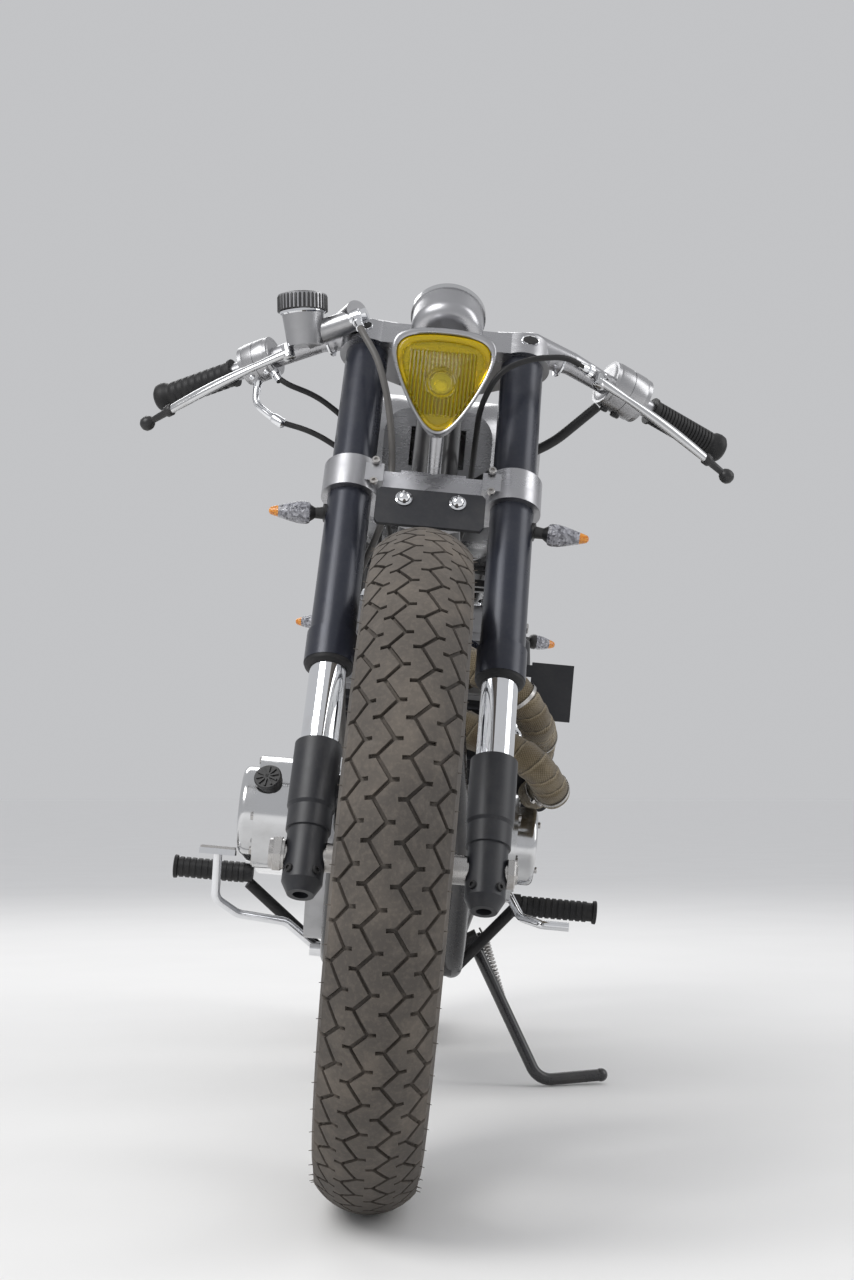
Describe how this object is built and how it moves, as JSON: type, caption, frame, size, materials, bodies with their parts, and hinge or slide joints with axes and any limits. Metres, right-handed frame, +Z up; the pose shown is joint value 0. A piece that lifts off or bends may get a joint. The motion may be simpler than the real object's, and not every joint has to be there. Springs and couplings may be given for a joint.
{
  "type": "cafe racer motorcycle",
  "caption": "Stripped cafe racer motorcycle with a triangular yellow headlamp, swept bars, finned twin engine and wire wheels, parked on its side stand.",
  "frame": {"origin": "on the floor, under the centre of the bounding box of the parked, leaning motorcycle", "axes": "+Z up, -Y forward, +X to the rider's left, with the motorcycle leaning 5.25 degrees toward +X"},
  "size_m": [0.7246, 2.0727, 0.9996],
  "materials": {
    "alu": "brushed satin",
    "polished": "polished",
    "black": "satin black paint",
    "blue_black": "satin blue-black coating",
    "chrome": "polished chrome",
    "steel": "ground steel",
    "tyre": "dusty grey-brown",
    "rubber": "matt black rubber",
    "yellow_glass": "ribbed yellow glass",
    "wrap": "woven tan heat wrap",
    "leather": "black stitched leather",
    "amber": "amber plastic on black stalks",
    "clear_lens": "clear faceted lens with an amber tip",
    "red_lens": "red lens",
    "plastic": "black plastic"
  },
  "bodies": {
    "frame": {"frame_backbone": "black", "frame_cradle": "black", "frame_seat_rails": "black", "swingarm": "black", "rear_axle": "steel", "rear_brake_plate": "alu", "rear_shock_absorbers": "chrome", "engine_cases": "alu", "engine_side_covers": "polished", "oil_filler_cap": "plastic", "cylinder_barrels": "black", "cylinder_head": "alu", "rocker_cover": "alu", "rectifier": "black", "carburettors": "alu", "exhaust_pipes": "wrap", "silencer": "black", "fuel_tank": "alu", "fuel_cap": "polished", "seat": "leather", "battery_box": "black", "rear_mudguard": "alu", "tail_lamp": "red_lens", "rear_indicators": "amber", "rider_footrests": "rubber", "rear_brake_pedal": "steel", "gear_lever": "steel", "drive_chain": "steel"},
    "steering": {"fork_outer_tubes": "blue_black", "fork_stanchions": "chrome", "fork_axle_sleeves": "black", "front_axle": "steel", "lower_yoke": "alu", "handlebars": "alu", "handlebar_grips": "rubber", "brake_and_clutch_levers": "alu", "headlamp_shell": "alu", "headlamp_lens": "yellow_glass", "instrument": "polished", "front_brake_caliper": "black", "front_brake_hose": "rubber", "yoke_shield": "black", "front_indicators": "clear_lens", "brake_master_cylinder": "alu", "handlebar_housings": "alu", "control_cables": "rubber"},
    "front_wheel": {"front_tyre": "tyre", "front_spoked_wheel": "alu", "front_brake_disc": "steel"},
    "rear_wheel": {"rear_tyre": "tyre", "rear_spoked_wheel": "alu", "rear_sprocket": "steel"},
    "side_stand": {"side_stand": "black"}
  },
  "joints": [
    {"name": "steering", "type": "hinge", "parent": "frame", "child": "steering", "pos_m": [-0.04568, -0.65608, 0.32283], "axis": [0.0815, 0.454, 0.8873], "range_deg": [-30, 30], "deforming": ["control_cables"]},
    {"name": "front_wheel_spin", "type": "hinge", "parent": "steering", "child": "front_wheel", "pos_m": [-0.04394, -0.6935, 0.34182], "axis": [0.9958, 0, -0.0915], "continuous": true},
    {"name": "rear_wheel_spin", "type": "hinge", "parent": "frame", "child": "rear_wheel", "pos_m": [-0.04513, 0.7065, 0.32888], "axis": [0.9958, 0, -0.0915], "continuous": true},
    {"name": "side_stand", "type": "hinge", "parent": "frame", "child": "side_stand", "pos_m": [0.05733, 0.1515, 0.19795], "axis": [0.9037, 0, 0.4281], "range_deg": [0, 100]}
  ]
}
